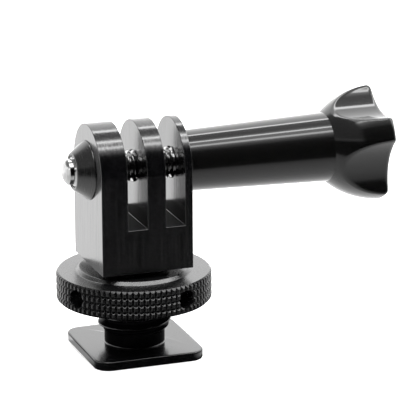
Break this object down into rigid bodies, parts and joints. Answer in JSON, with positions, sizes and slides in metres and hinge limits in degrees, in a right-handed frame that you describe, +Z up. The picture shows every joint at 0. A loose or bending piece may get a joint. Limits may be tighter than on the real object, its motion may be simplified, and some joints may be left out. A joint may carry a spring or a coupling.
{
  "type": "swivel fork bracket",
  "caption": "Shoe-foot bracket with a knurled lock ring, a fork block for a folding-finger joint and a long thumbscrew that clamps its pivot.",
  "frame": {"origin": "centre of the shoe foot's flat underside", "axes": "+Z up the stud and fork, +X along the pivot axis towards the thumbscrew's knob, Y along the fork's slots"},
  "size_m": [0.0541, 0.0248, 0.0395],
  "materials": {
    "anodised_black": "satin black anodised aluminium",
    "knurl_black": "black anodised aluminium, knurled rim",
    "nut_dark": "turned steel, dark oxide",
    "screw_steel": "zinc-plated steel, bright",
    "handle_plastic": "glossy black moulded nylon",
    "washer_nylon": "black nylon"
  },
  "bodies": {
    "base": {"shoe_foot": "anodised_black", "fork_block": "anodised_black", "cone_nut": "nut_dark"},
    "pad_carrier": {"friction_pad": "washer_nylon"},
    "lock_ring": {"lock_disc": "knurl_black"},
    "washer_carrier": {"thrust_washer": "washer_nylon"},
    "thumbscrew": {"clamp_screw": "screw_steel", "thumb_handle": "handle_plastic", "handle_plug": "handle_plastic"}
  },
  "joints": [
    {"name": "ring_travel", "type": "slide", "parent": "base", "child": "pad_carrier", "axis": [0, 0, 1], "range_m": [-0.00706, 0.0009]},
    {"name": "ring_turn", "type": "hinge", "parent": "pad_carrier", "child": "lock_ring", "pos_m": [0, 0, 0.0112], "axis": [0, 0, 1], "range_deg": [-1692, 216]},
    {"name": "screw_travel", "type": "slide", "parent": "base", "child": "washer_carrier", "axis": [1, 0, 0], "range_m": [0, 0.00601]},
    {"name": "screw_turn", "type": "hinge", "parent": "washer_carrier", "child": "thumbscrew", "pos_m": [0.02, 0, 0.03055], "axis": [1, 0, 0], "range_deg": [0, 2700]}
  ],
  "couplings": [
    {"joint": "ring_travel", "follows": "ring_turn", "m_per_rad": 0.00023873},
    {"joint": "screw_travel", "follows": "screw_turn", "m_per_rad": 0.00012732}
  ]
}
